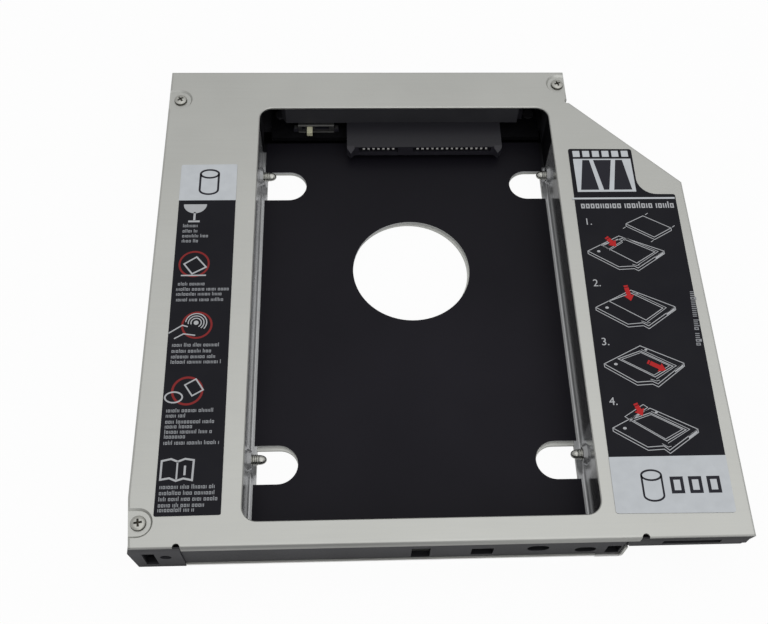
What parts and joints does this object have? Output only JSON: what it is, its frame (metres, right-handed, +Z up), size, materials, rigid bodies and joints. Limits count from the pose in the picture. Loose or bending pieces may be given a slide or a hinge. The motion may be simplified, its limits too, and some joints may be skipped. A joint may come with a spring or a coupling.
{
  "type": "laptop drive caddy",
  "caption": "Flat metal-covered caddy that holds a 2.5 inch drive in a laptop's optical bay, with a notched rear corner, drive screws and a slide switch.",
  "frame": {"origin": "middle of the underside", "axes": "+X from the plain side to the overhanging side, +Y from the front face with the clip openings to the rear plug, +Z up out of the drive bay"},
  "size_m": [0.128, 0.1262, 0.013],
  "materials": {
    "cover_metal": "satin",
    "bay_metal": "polished",
    "black_plastic": "matte",
    "black_film": "satin",
    "board": "satin",
    "socket_plastic": "matte",
    "contacts": "plated",
    "switch_metal": "plain",
    "lever": "matte",
    "screw_metal": "nickel plated",
    "bush_metal": "plain",
    "label": "printed film"
  },
  "bodies": {
    "caddy": {"top_cover": "cover_metal", "bottom_cover": "cover_metal", "body_frame": "black_plastic", "drive_tray": "bay_metal", "floor_film": "black_film", "adapter_board": "board", "drive_socket": "socket_plastic", "drive_socket_contacts": "contacts", "host_plug": "socket_plastic", "host_plug_contacts": "contacts", "switch_shell": "switch_metal", "switch_base": "socket_plastic", "switch_terminals": "switch_metal", "screw_bushes": "bush_metal", "cover_screws": "screw_metal", "left_label": "label", "right_label": "label"},
    "lever": {"switch_lever": "lever"},
    "screw_front_left": {"drive_screw_front_left": "screw_metal"},
    "screw_rear_left": {"drive_screw_rear_left": "screw_metal"},
    "screw_front_right": {"drive_screw_front_right": "screw_metal"},
    "screw_rear_right": {"drive_screw_rear_right": "screw_metal"}
  },
  "joints": [
    {"name": "switch_slide", "type": "slide", "parent": "caddy", "child": "lever", "axis": [1, 0, 0], "range_m": [-0.0013, 0.0042]},
    {"name": "screw_front_left_turn_out", "type": "slide", "parent": "caddy", "child": "screw_front_left", "axis": [-1, 0, 0], "range_m": [-0.0006, 0.004]},
    {"name": "screw_rear_left_turn_out", "type": "slide", "parent": "caddy", "child": "screw_rear_left", "axis": [-1, 0, 0], "range_m": [-0.0006, 0.004]},
    {"name": "screw_front_right_turn_out", "type": "slide", "parent": "caddy", "child": "screw_front_right", "axis": [1, 0, 0], "range_m": [-0.0006, 0.0033]},
    {"name": "screw_rear_right_turn_out", "type": "slide", "parent": "caddy", "child": "screw_rear_right", "axis": [1, 0, 0], "range_m": [-0.0006, 0.0033]}
  ]
}
